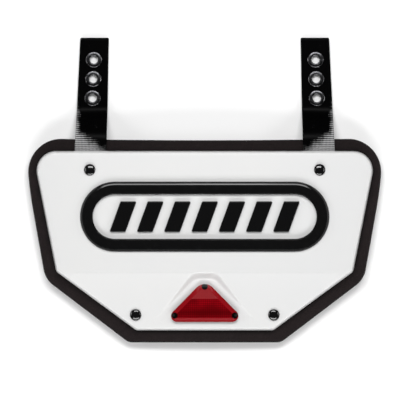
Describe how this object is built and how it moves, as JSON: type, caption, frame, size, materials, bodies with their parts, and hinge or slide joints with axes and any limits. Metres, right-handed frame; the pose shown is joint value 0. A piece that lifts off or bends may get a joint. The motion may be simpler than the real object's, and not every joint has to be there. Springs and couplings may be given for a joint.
{
  "type": "football back plate",
  "caption": "Lower-back plate for football shoulder pads: white shell with raised ring and red reflector on a black foam pad, hung by two straps with eyelets.",
  "frame": {"origin": "centre of the whole plate's box in plan, on the floor that it lies on", "axes": "+Z out of the front, away from the wearer's back; +Y up the plate to the strap tips; +X to the right seen from the front"},
  "size_m": [0.3042, 0.2626, 0.0331],
  "materials": {
    "shell_white": "white moulded plastic, soft gloss",
    "foam_black": "brownish black foam sheet faced with fine brushed fabric",
    "badge_black": "black gloss",
    "reflector_red": "deep red clear plastic over a reflecting grid",
    "webbing_black": "black coated webbing",
    "eyelet_metal": "dark nickel",
    "rivet_black": "black gloss enamel"
  },
  "bodies": {
    "root": {"back_shell": "shell_white", "foam_pad": "foam_black", "badge_ring": "badge_black", "badge_bar_1": "badge_black", "badge_bar_2": "badge_black", "badge_bar_3": "badge_black", "badge_bar_4": "badge_black", "badge_bar_5": "badge_black", "badge_bar_6": "badge_black", "badge_bar_7": "badge_black", "reflector": "reflector_red", "strap_left": "webbing_black", "strap_right": "webbing_black", "eyelet_left_1": "eyelet_metal", "eyelet_left_2": "eyelet_metal", "eyelet_left_3": "eyelet_metal", "eyelet_right_1": "eyelet_metal", "eyelet_right_2": "eyelet_metal", "eyelet_right_3": "eyelet_metal", "rivet_upper_left": "rivet_black", "rivet_upper_right": "rivet_black", "rivet_lower_left": "rivet_black", "rivet_lower_right": "rivet_black"}
  },
  "joints": []
}
